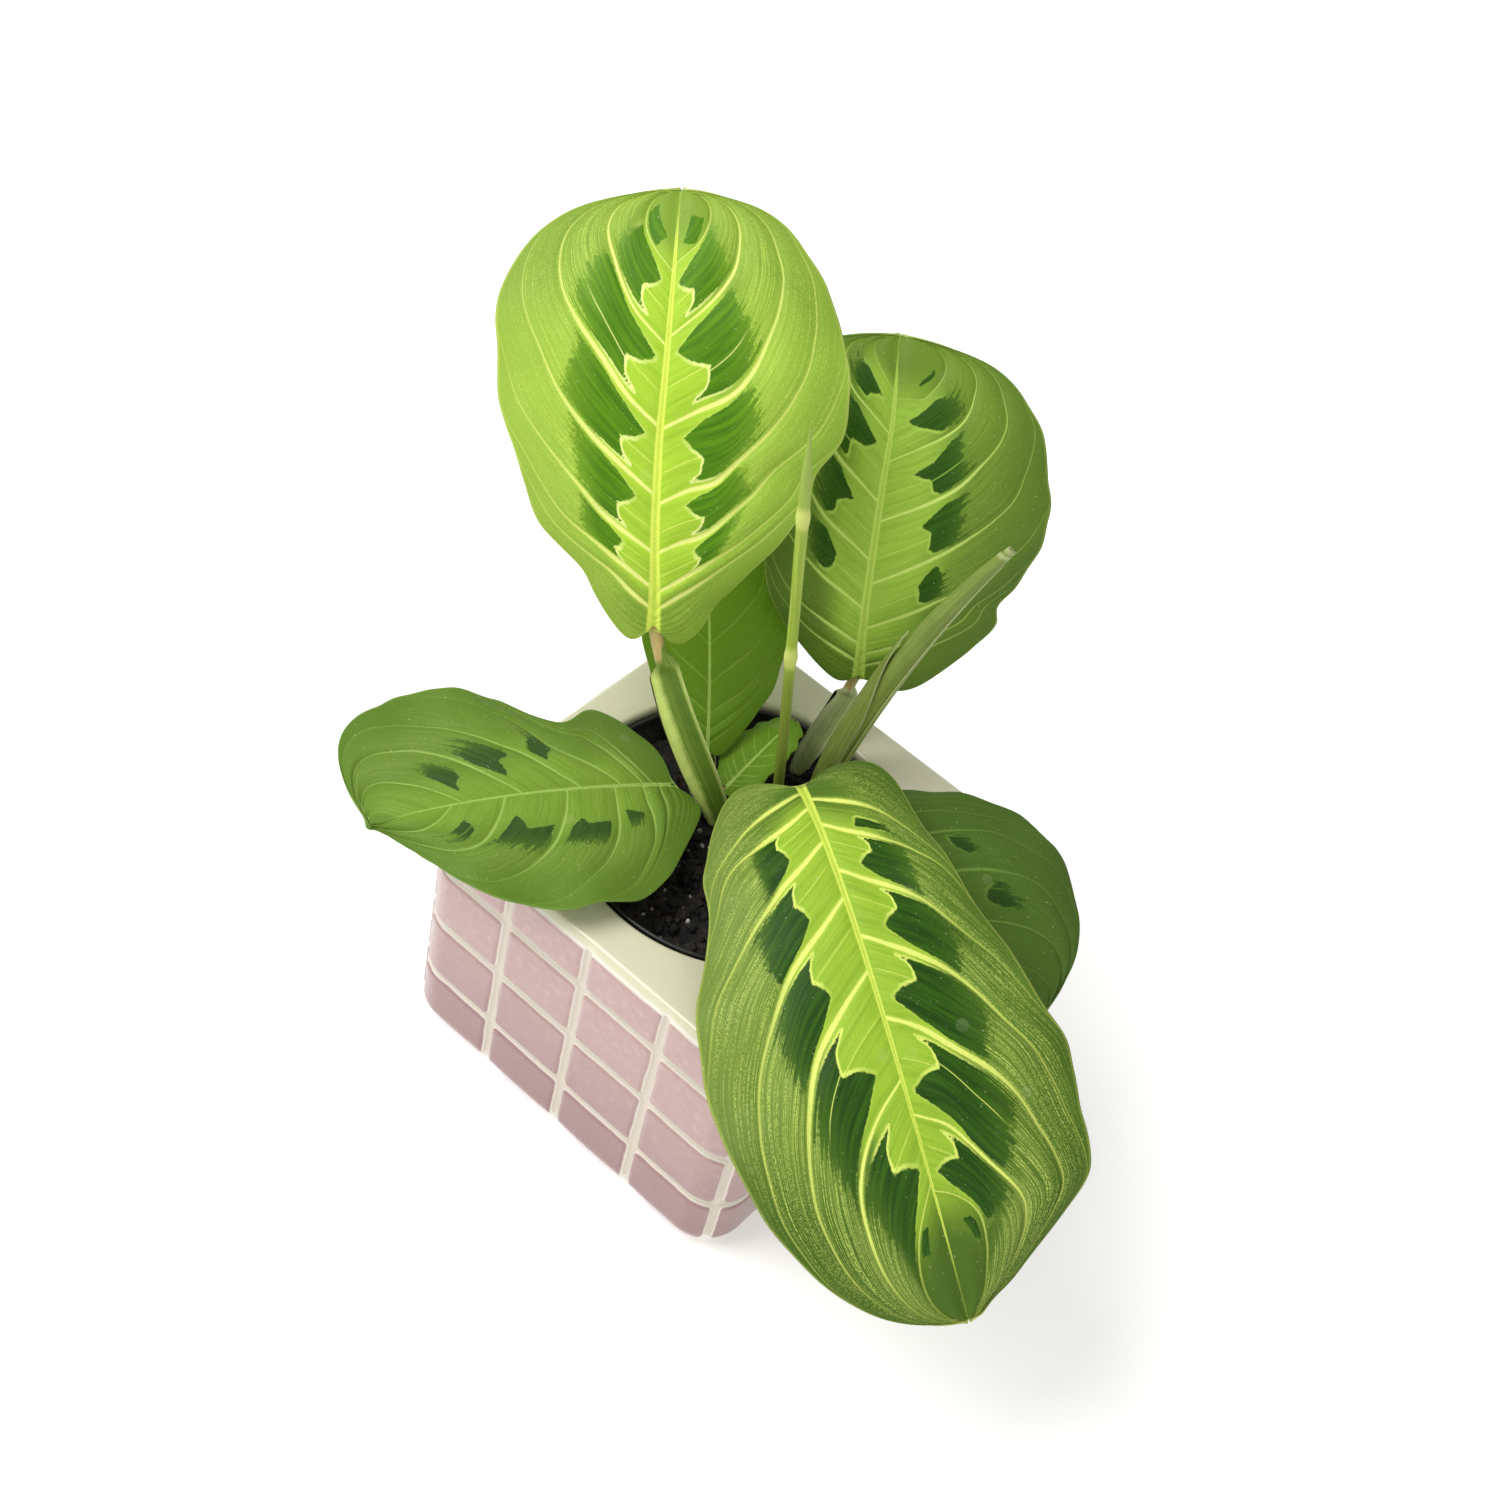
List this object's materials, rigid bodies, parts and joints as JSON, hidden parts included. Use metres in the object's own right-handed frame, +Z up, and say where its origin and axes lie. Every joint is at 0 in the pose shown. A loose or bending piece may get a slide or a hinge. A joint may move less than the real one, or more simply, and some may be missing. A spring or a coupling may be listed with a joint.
{
  "type": "potted prayer plant",
  "caption": "Prayer plant with rounded, vein-patterned leaves and rolled new leaves in a grower's pot inside a square tile-patterned glazed planter; stands on its flat base.",
  "frame": {"origin": "centre of the planter's flat base, on the surface it stands on", "axes": "+Z up; -Y through the tiled side that the two low front leaves lean over; +X through the side next to it on the right"},
  "size_m": [0.2158, 0.1593, 0.1957],
  "materials": {
    "tile_glaze": "glossy pink glaze on raised tiles, cream glaze in the grooves and on the top",
    "pot_plastic": "satin black",
    "potting_soil": "rough crumbly dark potting soil with white grains",
    "leaf_lime": "satin lime green leaf with dark blotches and pale yellow veins",
    "leaf_mid": "satin mid green leaf with dark blotches and pale veins",
    "leaf_deep": "satin deep green leaf with pale veins",
    "stalk": "satin pale green stalk and sheath",
    "new_leaf": "satin grey-green rolled new leaf with pale edges"
  },
  "bodies": {
    "root": {"planter": "tile_glaze", "nursery_pot": "pot_plastic", "soil": "potting_soil", "leaf_1": "leaf_lime", "leaf_1_stalk": "stalk", "leaf_2": "leaf_mid", "leaf_2_stalk": "stalk", "leaf_3": "leaf_deep", "leaf_3_stalk": "stalk", "leaf_4": "leaf_mid", "leaf_4_stalk": "stalk", "leaf_5": "leaf_deep", "leaf_5_stalk": "stalk", "leaf_6": "leaf_deep", "leaf_6_stalk": "stalk", "leaf_7": "leaf_deep", "leaf_7_stalk": "stalk", "rolled_leaf_1": "new_leaf", "rolled_leaf_2": "new_leaf"}
  },
  "joints": []
}
